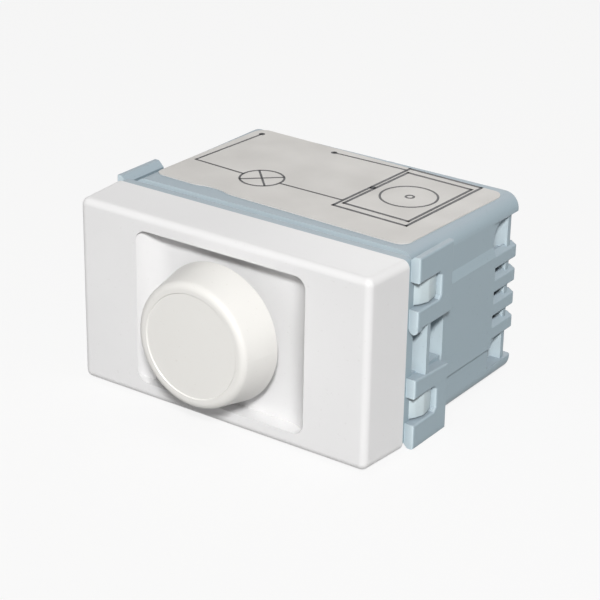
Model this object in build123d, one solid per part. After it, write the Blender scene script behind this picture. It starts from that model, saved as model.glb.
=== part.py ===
from build123d import *
import math
import os

# Rotary dimmer module for a flush wall box.
# While it is drawn, X runs across the front, depth runs along +Y from the front face, and Z is up.

# Module: the flange's width and height and the overall depth, which the other pieces follow
module_width = 42.0
module_height = 24.1
module_depth = 34.1

# How far a cut runs past a face, and how deep a joined piece is set into its neighbour
through = 1.0
sunk = 0.3

# Front cover
cover_overhang = 0.5
cover_depth = 7.3
cover_side_draft = 0.5
cover_top_draft = 0.05
cover_corner = 1.0
cover_front_round = 0.9
cover_wall = 1.6
cover_face = 1.7
recess_width = 24.7
recess_margin = 2.05
recess_depth = 2.2
recess_run = 3.6
recess_corner = 1.5
recess_wall = 1.4
hub_hole_clearance = 0.6

# Knob
knob_height = 5.3
knob_front_radius = 7.75
knob_base_radius = 8.8
knob_rim_round = 0.9
knob_base_edge = 0.2
knob_dish_radius = 6.6
knob_dish_depth = 0.12
knob_wall = 1.4
knob_face = 1.6
knob_hub_wall = 0.9
knob_hub_reach = 1.6
knob_ribs = 6
knob_rib_width = 0.8
knob_rib_height = 1.9
knob_grip_clearance = 0.02

# Clip frame
flange_thickness = 1.1
flange_corner = 0.8
groove_depth = 0.8
plate_thickness = 2.1
block_reach_out = 1.27
block_stand = 0.12
block_thickness = 1.55
block_depth = 7.3
block_edge = 0.25
block_bevel = 0.75
upper_block_bottom = 3.15
lower_block_top = -3.13
lower_block_fall = 0.45
lip_radius = 0.6
lip_length = 1.0
lip_offset = 0.15
window_inset = 4.87
window_height = 3.4
window_depth = 4.9
window_corner = 0.45
pod_width = 3.72
pod_inset = 1.0
pod_clearance = 0.1
pocket_depth = 2.32
rib_set_back = 0.12
rib_gap = 1.3
rib_thickness = 0.65
spigot_wall = 1.0
spigot_depth = 2.1
spigot_clearance = 0.2
spigot_corner = 0.6
spigot_break = 1.3
post_radius = 2.2

# Cover tabs that snap into the block windows
tab_height = 2.9
tab_shank = 0.9
tab_barb = 1.25
tab_length = 3.6
tab_barb_length = 2.0
tab_step = 0.35
tab_nose = 0.3
tab_corner = 1.0
tab_inset = 1.42
tab_root = 3.5
tab_slot_clearance = 0.15

# Rear housing
housing_side_gap = 0.38
housing_top_gap = 0.05
housing_front_gap = 0.3
housing_edge = 2.0
housing_wall = 1.5
core_side_step = 0.32
core_rear_step = 0.8
core_corner = 0.9
rear_wall = 1.4
cavity_corner = 0.5
panel_gap = 0.4
panel_proud = 0.4
panel_top = 6.8
panel_slope = 1.25
panel_bottom = -6.6
fin_zone_depth = 6.1
fin_height = 1.75
fin_pitch = 3.18
fin_count = 4
fin_middle = -0.31
fin_corner = 0.5
fin_round = 0.25
rim_depth = 2.25
vent_inset = 0.3
scallop_radius = 3.0
terminal_pad_width = 19.0
terminal_pad_height = 9.0
terminal_pad_corner = 1.2

# Label
label_side_margin = 1.67
label_front_margin = 1.65
label_rear_margin = 1.05
label_corner = 1.5
label_turn = -2.0
label_thickness = 0.12
label_dent_at = -9.6
label_dent_depth = 0.55
label_dent_radius = 6.0
label_dent_blend = 4.0

# Potentiometer
shaft_radius = 2.98
shaft_running = 0.05
shaft_flat = 1.5
shaft_end = -3.3
shaft_flat_end = 2.0
shaft_groove_depth = 0.48
clip_set_out = 0.65
clip_thickness = 0.4
clip_reach = 0.3
clip_slack = 0.05
clip_mouth = 3.0
bushing_wall = 0.52
bushing_stand = 0.2
bushing_hole_clearance = 0.1
washer_thickness = 0.5
washer_radius = 5.6
washer_teeth = 10
washer_tooth_length = 0.8
washer_tooth_width = 1.5
nut_thickness = 2.0
nut_flats = 10.0
pot_side_gap = 2.3
pot_base_thickness = 1.0
wafer_thickness = 1.2
wafer_foot_width = 13.0
wafer_foot_reach = 0.3
wafer_hole_clearance = 0.4
track_width = 1.6
track_set_in = 0.1
track_thickness = 0.1
track_gap = 3.2
can_depth = 3.0
can_wall = 0.7
rotor_set_in = 1.7
rotor_thickness = 1.2
rotor_gap = 0.35
rotor_grip = 0.01
stop_half_angle = 8.0
stop_angle = -90.0
stop_clearance = 0.25
lug_half_angle = 18.0
lug_reach = 0.6
full_turn = 360.0
knob_turn = 300.0
wiper_width = 1.2
wiper_length = 2.4
wiper_angle = 60.0
wiper_clearance = 0.05
switch_depth = 2.5
switch_set_in = 0.2
switch_edge = 0.4
switch_pin_reach = 3.0
switch_pin_level = 5.5
pot_lug_pitch = 5.0
pot_lug_width = 1.0
pot_lug_thickness = 0.5
nib_inset = 1.8
nib_width = 1.8
nib_thickness = 1.0
nib_length = 1.4
nib_clearance = 0.25

# Board and the parts on it
board_gap = 0.9
board_thickness = 1.5
board_clearance = 0.5
board_corner = 0.8
lead_radius = 0.35
lead_clearance = 0.08
lead_stub = 0.4
standoff = 0.6
case_screw_inset = 2.9
case_screw_radius = 1.25
case_screw_clearance = 0.12
case_screw_head = 2.4
case_screw_head_height = 1.0
case_screw_grip = 2.1
case_screw_web = 1.0
cross_length = 2.6
cross_width = 0.6
cross_depth = 0.6
head_clearance = 0.2
boss_radius = 2.3
boss_pad = 0.9
sink_case_gap = 0.3
sink_block_gap = 0.25
heat_sink_thickness = 1.4
heat_sink_gap = 0.4
heat_sink_inset = 2.4
sink_fold_gap = 1.0
sink_screw_inset = 2.6
sink_screw_radius = 1.25
sink_screw_clearance = 0.1
sink_screw_head = 2.5
sink_screw_head_height = 1.5
sink_slot_width = 0.6
triac_length = 11.0
triac_thickness = 2.6
triac_side_gap = 0.7
triac_edge = 0.4
triac_lead_pitch = 2.29
triac_lead_run = 1.6
capacitor_width = 13.0
capacitor_edge = 0.5
capacitor_pin_inset = 1.5
capacitor_inset = 2.7
capacitor_top_gap = 0.9
capacitor_block_gap = 1.05
capacitor_sink_gap = 0.6
timing_width = 7.2
timing_depth = 7.4
timing_height = 3.2
timing_pin_inset = 1.1
timing_block_gap = 1.0
timing_boss_gap = 0.1
choke_radius = 3.9
choke_flange = 1.2
choke_groove = 1.6
choke_gap = 0.5
choke_rear_gap = 2.6
choke_pin_reach = 2.5
winding_turns = 6
winding_clearance = 0.05
winding_set_in = 0.35
winding_relief = 0.3
fuse_end_gap = 0.9
fuse_length = 12.0
fuse_radius = 2.3
fuse_cap_radius = 2.6
fuse_cap_length = 3.4
fuse_tube_grip = 0.8
fuse_clip_thickness = 0.4
fuse_clip_width = 2.4
fuse_clip_mouth = 3.4
fuse_gap = 0.4
fuse_board_gap = 0.3
resistor_count = 2
resistor_pitch = 2.5
resistor_gap = 0.6
resistor_board_gap = 0.65
resistor_radius = 1.15
resistor_length = 6.3
diac_board_gap = 0.45
diac_radius = 0.95
diac_length = 4.0
axial_edge = 0.25
axial_overhang = 1.2

# Mains terminals
terminal_pitch = 7.7
terminal_block_width = 15.4
terminal_block_edge = 0.5
terminal_floor_gap = 0.15
terminal_roof = 0.55
terminal_rear_gap = 0.3
terminal_room = 0.07
cage_width = 5.6
cage_length = 6.0
cage_set_in = 0.5
cage_floor = 1.4
cage_height = 7.1
cage_wall = 0.9
cage_roof = 1.0
cage_lug_width = 1.0
cage_lug_height = 0.8
plate_thick = 0.7
plate_clearance = 0.15
plate_end_gap = 0.4
plate_edge = 0.3
terminal_screw_radius = 1.45
terminal_screw_clearance = 0.05
terminal_head_radius = 2.3
terminal_head_height = 1.3
terminal_shank = 5.2
terminal_slot_width = 0.7
terminal_slot_depth = 0.7
driver_hole_clearance = 0.3
driver_gap = 0.1
wire_hole_radius = 1.9
wire_way_clearance = 0.15
wire_funnel = 0.5

# Places worked out from the sizes above
cover_half_width = module_width / 2 + cover_overhang
recess_height = module_height - 2 * recess_margin
knob_hub_radius = shaft_radius + knob_grip_clearance + knob_hub_wall
frame_rear = cover_depth + plate_thickness
block_front = cover_depth + flange_thickness
block_rear = block_front + block_depth
block_reach = module_width / 2 + block_reach_out
block_inner = block_reach - block_thickness
block_height = module_height / 2 + block_stand
window_centre = block_height - window_inset
window_back = block_front + window_depth
tab_inner = block_inner - tab_inset
tab_outer = tab_inner + tab_shank
housing_half_width = module_width / 2 - housing_side_gap
housing_half_height = module_height / 2 - housing_top_gap
housing_front = frame_rear + housing_front_gap
core_half_width = housing_half_width - core_side_step
core_rear = module_depth - core_rear_step
core_inner = core_half_width - rear_wall
inner_height = housing_half_height - housing_wall
rear_inner = core_rear - rear_wall
panel_start = block_rear + panel_gap
fin_zone_start = module_depth - fin_zone_depth
vent_start = fin_zone_start + vent_inset
rim_level = housing_half_height - rim_depth
fin_levels = [fin_middle + (n - (fin_count - 1) / 2) * fin_pitch for n in range(fin_count)]
pod_inner = block_inner - pod_width
pod_height = inner_height - pod_inset
pod_rear = panel_start - pod_clearance
pocket_floor = block_inner - pocket_depth
rib_reach = block_reach - rib_set_back
rib_start = frame_rear + rib_gap

shaft_hole_radius = shaft_radius + shaft_running
bushing_radius = shaft_radius + bushing_wall
washer_front = cover_depth - washer_thickness
nut_front = washer_front - nut_thickness
bushing_front = nut_front - bushing_stand
clip_front = bushing_front - clip_set_out
clip_groove_radius = shaft_radius - shaft_groove_depth
pot_radius = inner_height - pot_side_gap
rotor_radius = pot_radius - rotor_set_in
track_outer = rotor_radius - track_set_in
track_inner = track_outer - track_width
nib_distance = pot_radius - nib_inset
wafer_front = frame_rear + pot_base_thickness
can_front = wafer_front + wafer_thickness
can_rear = can_front + can_depth
rotor_front = can_front + rotor_gap
switch_rear = can_rear + switch_depth
pot_foot = -(pot_radius + wafer_foot_reach)
nib_front = frame_rear - nib_length

board_front = switch_rear + board_gap
board_rear = board_front + board_thickness
board_half_width = core_inner - board_clearance
board_half_height = inner_height - board_clearance
seat_rear = board_rear + standoff
case_screw_x = core_inner - case_screw_inset
case_screw_z = case_screw_inset - inner_height
case_screw_places = [(-case_screw_x, case_screw_z), (case_screw_x, case_screw_z)]
screw_seat = rear_inner + case_screw_web
case_screw_tip = frame_rear + case_screw_grip

block_back = rear_inner - terminal_rear_gap
cage_front = seat_rear + cage_set_in
cage_rear = cage_front + cage_length
cage_bottom = driver_gap + terminal_head_height + terminal_shank - cage_floor - inner_height
cage_top = cage_bottom + cage_height
cage_inner_bottom = cage_bottom + cage_floor
cage_inner_top = cage_top - cage_roof
cage_lug_level = cage_inner_top + cage_roof / 2
terminal_block_bottom = terminal_floor_gap - inner_height
terminal_block_top = cage_top + terminal_roof
terminal_middle = cage_front + cage_length / 2
plate_bottom = cage_inner_bottom + terminal_screw_clearance
wire_level = (plate_bottom + plate_thick + cage_inner_top) / 2
driver_hole_radius = terminal_head_radius + driver_hole_clearance
terminal_places = (-terminal_pitch / 2, terminal_pitch / 2)

heat_sink_front = rear_inner - heat_sink_gap - heat_sink_thickness
heat_sink_rear = heat_sink_front + heat_sink_thickness
heat_sink_left = heat_sink_inset - core_inner
heat_sink_right = core_inner - sink_case_gap
heat_sink_low = terminal_block_top + sink_block_gap
heat_sink_high = inner_height - sink_case_gap
triac_right = heat_sink_right - heat_sink_thickness - triac_side_gap
triac_left = triac_right - triac_length
triac_front = heat_sink_front - triac_thickness
triac_centre = (heat_sink_low + heat_sink_high) / 2
sink_screw_x = triac_right - sink_screw_inset

capacitor_low = terminal_block_top + capacitor_block_gap
capacitor_high = inner_height - capacitor_top_gap
capacitor_middle = (capacitor_low + capacitor_high) / 2
capacitor_x = capacitor_inset - core_inner + capacitor_width / 2
capacitor_rear = heat_sink_front - capacitor_sink_gap
timing_x = (terminal_block_width + timing_width) / 2 + timing_block_gap
timing_low = case_screw_z + boss_radius + timing_boss_gap
timing_middle = timing_low + timing_height / 2
choke_x = -(terminal_block_width / 2 + choke_gap + choke_radius)
choke_level = capacitor_low - choke_gap - choke_radius
choke_rear = rear_inner - choke_rear_gap
fuse_outer = fuse_cap_radius + fuse_clip_thickness
fuse_x = -(pot_radius + fuse_gap + fuse_outer)
fuse_depth = board_front - fuse_board_gap - fuse_outer
fuse_level = inner_height - spigot_clearance - spigot_wall - fuse_end_gap - fuse_length / 2
resistor_depth = board_front - resistor_board_gap - resistor_radius
resistor_first = pot_radius + resistor_gap + resistor_radius
resistor_places = [resistor_first + n * resistor_pitch for n in range(resistor_count)]
diac_depth = board_front - diac_board_gap - diac_radius
resistor_reach = resistor_length / 2 + axial_overhang
diac_reach = diac_length / 2 + axial_overhang
axial_gap = 2 * (board_half_height - resistor_reach - diac_reach) / 3
resistor_level = board_half_height - axial_gap - resistor_reach
diac_level = axial_gap + diac_reach - board_half_height


def face_plane(depth):
    return Plane(origin=(0, depth, 0), x_dir=(1, 0, 0), z_dir=(0, -1, 0))


def inward(sketch, start, end):
    return extrude(face_plane(start) * sketch, amount=end - start, dir=(0, 1, 0))


def sideways(sketch, start, end):
    side = Plane(origin=(start, 0, 0), x_dir=(0, 1, 0), z_dir=(1, 0, 0))
    return extrude(side * sketch, amount=end - start, dir=(1, 0, 0))


def upwards(sketch, start, end):
    return extrude(Plane(origin=(0, 0, start)) * sketch, amount=end - start, dir=(0, 0, 1))


def block(x0, x1, y0, y1, z0, z1):
    middle = ((x0 + x1) / 2, (y0 + y1) / 2, (z0 + z1) / 2)
    return Pos(*middle) * Box(x1 - x0, y1 - y0, z1 - z0)


def rod(x, z, radius, start, end):
    return inward(Pos(x, z) * Circle(radius), start, end)


def polygon(*points):
    return make_face(Polyline(*points, close=True))


def turned(points):
    return revolve(polygon(*points), Axis.Y)


def other_side(shape):
    return mirror(shape, about=Plane.YZ)


def d_section(radius, flat):
    keep = Pos(0, flat - radius) * Rectangle(2 * radius, 2 * radius)
    return Circle(radius) & keep


def bent_lead(start, bend, end):
    # A round lead of two straight runs, mitred where they meet.
    lead = Part()
    for here, there in ((start, bend), (end, bend)):
        run = Vector(*there) - Vector(*here)
        plane = Plane(origin=here, z_dir=run)
        lead += extrude(plane * Circle(lead_radius), amount=run.length + lead_radius)
    return lead


def cover_body(front, inset, corner):
    # A box whose sides and top lean in a little towards the front.
    lean = 1 - front / cover_depth
    wide = cover_half_width - inset
    high = module_height / 2 - inset
    front_wide = wide - cover_side_draft * lean
    front_high = high - cover_top_draft * lean
    plan = polygon((-wide, cover_depth), (wide, cover_depth), (front_wide, front), (-front_wide, front))
    side = polygon((cover_depth, -high), (cover_depth, high), (front, front_high), (front, -front_high))
    body = upwards(plan, -high, high) & sideways(side, -wide, wide)
    edges = body.edges().filter_by(lambda e: front + sunk < e.center().Y < cover_depth - sunk)
    return fillet(edges, corner)


def recess_cut():
    # The panel round the knob is flat in the middle and curls up to the face at both sides.
    half = recess_width / 2
    flat = half - recess_run
    edge = Line((-flat, recess_depth), (flat, recess_depth))
    right = TangentArc((flat, recess_depth), (half, 0), tangent=(1, 0))
    left = TangentArc((-flat, recess_depth), (-half, 0), tangent=(-1, 0))
    over = Polyline((half, 0), (half, -through), (-half, -through), (-half, 0))
    trough = upwards(make_face(edge + right + over + left), -recess_height / 2, recess_height / 2)
    window = RectangleRounded(recess_width, recess_height, recess_corner)
    return trough & inward(window, -through, recess_depth + through)


def cover_tab():
    # One right-hand tab at mid height: shank, barb and a lower step behind it.
    root = cover_depth - tab_root
    catch = frame_rear + tab_slot_clearance
    tip = catch + tab_length
    barb_rear = catch + tab_barb_length
    crest = tab_outer + tab_barb
    step = crest - tab_step
    profile = polygon(
        (tab_inner, root),
        (tab_outer, root),
        (tab_outer, catch),
        (crest - tab_nose, catch),
        (crest, catch + tab_nose),
        (crest, barb_rear - tab_nose),
        (step, barb_rear),
        (step, tip - tab_nose),
        (step - tab_nose, tip),
        (tab_inner, tip),
    )
    body = upwards(profile, -tab_height / 2, tab_height / 2)
    side = Pos((root + tip) / 2, 0) * RectangleRounded(tip - root, tab_height, tab_corner)
    return body & sideways(side, tab_inner - through, crest + through)


def front_cover():
    shell = cover_body(0, 0, cover_corner)
    front_edges = shell.faces().sort_by(Axis.Y)[0].edges()
    shell = fillet(front_edges, cover_front_round)
    inside = cover_body(cover_face, cover_wall, cavity_corner)
    boss = inward(Rectangle(recess_width + 2 * recess_wall, module_height), 0, recess_depth + recess_wall)
    shell -= inside - boss
    shell -= recess_cut()
    shell -= rod(0, 0, knob_hub_radius + hub_hole_clearance, 0, cover_depth)
    for level in (-window_centre, window_centre):
        tab = Pos(0, 0, level) * cover_tab()
        shell += tab
        shell += other_side(tab)
    return shell


def knob():
    front = -knob_height
    dish = front + knob_dish_depth
    ceiling = front + knob_face
    outline = polygon(
        (0, dish),
        (knob_dish_radius - knob_dish_depth, dish),
        (knob_dish_radius, front),
        (knob_front_radius, front),
        (knob_base_radius, 0),
        (knob_base_radius - knob_wall, 0),
        (knob_front_radius - knob_wall, ceiling),
        (knob_hub_radius, ceiling),
        (knob_hub_radius, knob_hub_reach),
        (0, knob_hub_reach),
    )
    rim = outline.vertices().group_by(Axis.Y)[0].sort_by(Axis.X)[-1]
    outline = fillet(rim, knob_rim_round)
    lip = outline.vertices().sort_by(Axis.X)[-1]
    outline = chamfer(lip, knob_base_edge)
    body = revolve(outline, Axis.Y)
    half = knob_rib_width / 2
    rib = block(
        knob_hub_radius - sunk,
        knob_front_radius - knob_wall + sunk,
        ceiling - sunk,
        ceiling + knob_rib_height,
        -half,
        half,
    )
    for n in range(knob_ribs):
        body += Rot(0, n * full_turn / knob_ribs, 0) * rib
    bore = d_section(shaft_radius + knob_grip_clearance, shaft_flat + knob_grip_clearance)
    return body - inward(bore, shaft_end - knob_grip_clearance, knob_hub_reach + through)


def window_cut():
    start = block_front - through
    low = window_centre - window_height / 2
    high = window_centre + window_height / 2
    return polygon(
        (start, low),
        (window_back - window_corner, low),
        (window_back, low + window_corner),
        (window_back, high - window_corner),
        (window_back - window_corner, high),
        (start, high),
    )


def clip_block(side_outline):
    # Plate of one block, rounded outside, with its edge over the housing cut back to a narrow land.
    plate = sideways(side_outline, block_inner, block_reach)
    plate = fillet(plate.faces().sort_by(Axis.X)[-1].edges(), block_edge)
    inner_edges = plate.faces().sort_by(Axis.X)[0].edges().filter_by(Axis.Y)
    return chamfer(inner_edges.sort_by(lambda e: abs(e.center().Z))[-1], block_bevel)


def clip_side():
    # Right-hand side of the frame: two blocks on a pod, with the fixed rib between them.
    upper = polygon(
        (block_front, upper_block_bottom),
        (block_rear, upper_block_bottom),
        (block_rear, block_height),
        (block_front, block_height),
    )
    lower = polygon(
        (block_front, -block_height),
        (block_rear, -block_height),
        (block_rear, lower_block_top - lower_block_fall),
        (block_front, lower_block_top),
    )
    cut = window_cut()
    side = clip_block(upper - cut) + clip_block(lower - mirror(cut, about=Plane.XZ))
    lip_x = (block_inner + block_reach) / 2 + lip_offset
    side += rod(lip_x, upper_block_bottom, lip_radius, block_front, block_front + lip_length)
    outside = block_reach + through
    pod_outer = block_inner + pod_clearance
    pod = block(pod_inner, pod_outer, frame_rear - sunk, pod_rear, -pod_height, pod_height)
    pocket = block(pocket_floor, outside, frame_rear, panel_start, lower_block_top, upper_block_bottom)
    side += pod - pocket
    inner = tab_inner - tab_slot_clearance
    for level in (-window_centre, window_centre):
        low = level - window_height / 2
        high = level + window_height / 2
        side -= block(inner, pod_outer, frame_rear, window_back + pod_clearance, low, high)
        side -= block(inner, outside, frame_rear, window_back - window_corner, low, high)
    low = lower_block_top - sunk
    high = upper_block_bottom + sunk
    side += block(pocket_floor - sunk, rib_reach, rib_start, rib_start + rib_thickness, low, high)
    return side


def spigot():
    # Two C-shaped ends that locate inside the housing, with the potentiometer between them.
    wide = 2 * (core_inner - spigot_clearance)
    high = 2 * (inner_height - spigot_clearance)
    ring = RectangleRounded(wide, high, spigot_corner)
    ring -= RectangleRounded(wide - 2 * spigot_wall, high - 2 * spigot_wall, spigot_corner)
    ring -= Rectangle(2 * (pot_radius + spigot_break), high + through)
    return inward(ring, frame_rear - sunk, frame_rear + spigot_depth)


def clip_frame():
    frame = inward(RectangleRounded(module_width, module_height, flange_corner), cover_depth, block_front)
    low_height = module_height - 2 * groove_depth
    frame += inward(RectangleRounded(module_width, low_height, flange_corner), block_front, frame_rear)
    frame += spigot()
    side = clip_side()
    frame += side
    frame += other_side(side)
    for x, z in case_screw_places:
        frame += rod(x, z, post_radius, frame_rear - sunk, board_front)
        frame -= rod(x, z, case_screw_radius, case_screw_tip - through, board_front + through)
    frame -= rod(0, 0, bushing_radius + bushing_hole_clearance, cover_depth - through, frame_rear + through)
    half = nib_width / 2 + nib_clearance
    low = nib_distance - nib_thickness / 2 - nib_clearance
    high = nib_distance + nib_thickness / 2 + nib_clearance
    frame -= block(-half, half, nib_front - nib_clearance, frame_rear + through, low, high)
    half = tab_height / 2 + tab_slot_clearance
    inner = tab_inner - tab_slot_clearance
    outer = tab_outer + tab_slot_clearance
    for level in (-window_centre, window_centre):
        slot = block(inner, outer, cover_depth - through, frame_rear + through, level - half, level + half)
        frame -= slot
        frame -= other_side(slot)
    return frame


def core_plan(half_width, rear, corner, front):
    plan = Pos(0, (rear + front) / 2) * Rectangle(2 * half_width, rear - front)
    return fillet(plan.vertices().group_by(Axis.Y)[-1], corner)


def scallop(low, high):
    # A vent with its upper front corner rounded to a quarter circle.
    outline = polygon((vent_start, low), (rear_inner, low), (rear_inner, high), (vent_start, high))
    corner = outline.vertices().group_by(Axis.Y)[-1].sort_by(Axis.X)[0]
    return fillet(corner, min(scallop_radius, high - low - sunk))


def vents():
    # Openings through the right side wall: slots between the ribs, scallops above and below them.
    wall_in = core_inner - sunk
    wall_out = housing_half_width + through
    half = fin_height / 2
    cuts = sideways(scallop(fin_levels[-1] + half, rim_level), wall_in, wall_out)
    cuts += sideways(scallop(-rim_level, fin_levels[0] - half), wall_in, wall_out)
    for lower, upper in zip(fin_levels, fin_levels[1:]):
        cuts += block(wall_in, wall_out, vent_start, rear_inner, lower + half, upper - half)
    return cuts


def side_panel():
    face = housing_half_width + panel_proud
    root = housing_half_width - sunk
    outline = polygon(
        (root, panel_bottom),
        (face, panel_bottom),
        (face, panel_top - panel_slope),
        (housing_half_width, panel_top),
        (root, panel_top),
    )
    return inward(outline, panel_start, fin_zone_start)


def fins():
    # Rounded ribs that wrap the rear corners and the rear wall.
    ribs = Part()
    plan = core_plan(housing_half_width, module_depth, fin_corner, fin_zone_start)
    for level in fin_levels:
        fin = upwards(plan, level - fin_height / 2, level + fin_height / 2)
        rims = fin.faces().sort_by(Axis.Z)
        edges = (rims[0].edges() + rims[-1].edges()).filter_by(lambda e: e.center().Y > vent_start)
        ribs += fillet(edges, fin_round)
    return ribs


def rear_housing():
    outline = RectangleRounded(2 * housing_half_width, 2 * housing_half_height, housing_edge)
    shell = inward(outline, housing_front, module_depth)
    rear_edges = shell.faces().sort_by(Axis.Y)[-1].edges()
    shell = fillet(rear_edges, fin_corner)
    outside = housing_half_width + through
    past = module_depth + through
    zone = block(-outside, outside, fin_zone_start, past, -rim_level, rim_level)
    core = upwards(core_plan(core_half_width, core_rear, core_corner, housing_front), -rim_level, rim_level)
    shell = shell - (zone - core)
    shell += fins()
    pad = RectangleRounded(terminal_pad_width, terminal_pad_height, terminal_pad_corner)
    shell += inward(Pos(0, wire_level) * pad, core_rear - sunk, module_depth)
    for x, z in case_screw_places:
        shell += rod(x, z, case_screw_head + boss_pad, core_rear - sunk, module_depth)
    panel = side_panel()
    shell += panel
    shell += other_side(panel)
    cavity = RectangleRounded(2 * core_inner, 2 * inner_height, cavity_corner)
    shell -= inward(cavity, housing_front - through, rear_inner)
    for x, z in case_screw_places:
        shell += rod(x, z, boss_radius, board_rear, core_rear - sunk)
        shell -= rod(x, z, case_screw_radius + case_screw_clearance, board_rear - through, past)
        shell -= rod(x, z, case_screw_head + head_clearance, screw_seat, past)
    notch_half = pod_height + pod_clearance
    front = housing_front - through
    notch = block(core_inner - through, outside, front, panel_start, -notch_half, notch_half)
    shell -= notch
    shell -= other_side(notch)
    openings = vents()
    shell -= openings
    shell -= other_side(openings)
    for place in terminal_places:
        shell -= rod(place, wire_level, wire_hole_radius, rear_inner - through, past)
        funnel = Cone(wire_hole_radius, wire_hole_radius + wire_funnel, wire_funnel)
        shell -= Pos(place, module_depth - wire_funnel / 2, wire_level) * Rot(-90, 0, 0) * funnel
        hole = Pos(place, terminal_middle) * Circle(driver_hole_radius)
        shell -= upwards(hole, -housing_half_height - through, -inner_height + through)
    return shell


def wiring_label():
    # A sticker a little askew, wrapped on the top's rounded edges, with a lifted spot at its front.
    half = housing_half_width - label_side_margin
    front = housing_front + label_front_margin
    rear = module_depth - label_rear_margin
    middle = (front + rear) / 2
    sheet = RectangleRounded(2 * half, rear - front, label_corner)
    dent_middle = (front - rear) / 2 + label_dent_depth - label_dent_radius
    sheet -= Pos(label_dent_at, dent_middle) * Circle(label_dent_radius)
    mouth = sheet.vertices().group_by(Axis.Y)[0].sort_by(lambda v: abs(v.X - label_dent_at))[:2]
    sheet = fillet(mouth, label_dent_blend)
    sheet = Pos(0, middle) * Rot(0, 0, label_turn) * sheet
    inside = RectangleRounded(2 * housing_half_width, 2 * housing_half_height, housing_edge)
    outside = RectangleRounded(
        2 * (housing_half_width + label_thickness),
        2 * (housing_half_height + label_thickness),
        housing_edge + label_thickness,
    )
    skin = inward(outside - inside, housing_front, module_depth)
    return skin & upwards(sheet, 0, housing_half_height + through)


def pins_across(x, half, z):
    return [(x - half, z), (x + half, z)]


def capacitor_pins():
    suppression = pins_across(capacitor_x, capacitor_width / 2 - capacitor_pin_inset, capacitor_middle)
    return suppression + pins_across(timing_x, timing_width / 2 - timing_pin_inset, timing_middle)


def choke_pins():
    return pins_across(choke_x, choke_pin_reach, choke_level)


def triac_pins():
    return [(triac_left - triac_lead_run, triac_centre + n * triac_lead_pitch) for n in (-1, 0, 1)]


def axial_parts():
    # Place, depth, level and length of each part with a lead at both ends.
    parts = [(x, resistor_depth, resistor_level, resistor_length) for x in resistor_places]
    return parts + [(resistor_first, diac_depth, diac_level, diac_length)]


def axial_pins():
    pins = []
    for x, _, level, length in axial_parts():
        reach = length / 2 + axial_overhang
        pins += [(x, level - reach), (x, level + reach)]
    return pins


def round_pins():
    return capacitor_pins() + choke_pins() + triac_pins() + axial_pins()


def pot_lugs():
    level = pot_foot - pot_lug_thickness / 2
    places = (-pot_lug_pitch, 0, pot_lug_pitch)
    return [(x, level, pot_lug_width / 2, pot_lug_thickness / 2) for x in places]


def switch_lugs():
    places = (-switch_pin_reach, switch_pin_reach)
    return [(x, switch_pin_level, pot_lug_width / 2, pot_lug_thickness / 2) for x in places]


def cage_lugs():
    return [(x, cage_lug_level, cage_lug_width / 2, cage_lug_height / 2) for x in terminal_places]


def fuse_levels():
    reach = (fuse_length - fuse_cap_length) / 2
    return (fuse_level - reach, fuse_level + reach)


def fuse_lugs():
    return [(fuse_x, level, pot_lug_width / 2, fuse_clip_thickness / 2) for level in fuse_levels()]


def flat_lugs():
    # Flat lugs through the board, as place, level, half width and half height.
    return pot_lugs() + switch_lugs() + cage_lugs() + fuse_lugs()


def flat_lug(lug, start, end):
    x, z, wide, high = lug
    return block(x - wide, x + wide, start, end, z - high, z + high)


def circuit_board():
    # All its holes are cut as one sketch.
    board = RectangleRounded(2 * board_half_width, 2 * board_half_height, board_corner)
    for x, z in round_pins():
        board -= Pos(x, z) * Circle(lead_radius + lead_clearance)
    for x, z, wide, high in flat_lugs():
        board -= Pos(x, z) * Rectangle(2 * (wide + lead_clearance), 2 * (high + lead_clearance))
    for x, z in case_screw_places:
        board -= Pos(x, z) * Circle(case_screw_radius + case_screw_clearance)
    return inward(board, board_front, board_rear)


def pot_base():
    plate = inward(Circle(pot_radius) - Circle(bushing_radius), frame_rear, wafer_front)
    half = nib_width / 2
    low = nib_distance - nib_thickness / 2
    high = nib_distance + nib_thickness / 2
    return plate + block(-half, half, nib_front, frame_rear + sunk, low, high)


def pot_bushing():
    return inward(Circle(bushing_radius) - Circle(shaft_hole_radius), bushing_front, wafer_front)


def pot_nut():
    hexagon = RegularPolygon(nut_flats / 2, 6, major_radius=False)
    return inward(hexagon - Circle(bushing_radius), nut_front, washer_front)


def lock_washer():
    # Outer teeth, all the same, round a flat ring.
    ring = Circle(washer_radius - washer_tooth_length) - Circle(bushing_radius)
    length = washer_tooth_length + sunk
    tooth = Pos(washer_radius - length / 2, 0) * Rectangle(length, washer_tooth_width)
    for n in range(washer_teeth):
        ring += Rot(0, 0, n * full_turn / washer_teeth) * tooth
    return inward(ring, washer_front, cover_depth)


def pot_shaft():
    shaft = rod(0, 0, shaft_radius, shaft_flat_end, rotor_front + rotor_thickness)
    shaft += inward(d_section(shaft_radius, shaft_flat), shaft_end, shaft_flat_end)
    groove = Circle(shaft_radius + through) - Circle(clip_groove_radius)
    return shaft - inward(groove, clip_front - clip_slack, clip_front + clip_thickness + clip_slack)


def shaft_clip():
    radius = knob_hub_radius + clip_reach
    ring = Circle(radius) - Circle(clip_groove_radius + clip_slack)
    gap = Pos(radius, 0) * Rectangle(2 * radius, clip_mouth)
    return inward(ring - gap, clip_front, clip_front + clip_thickness)


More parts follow.
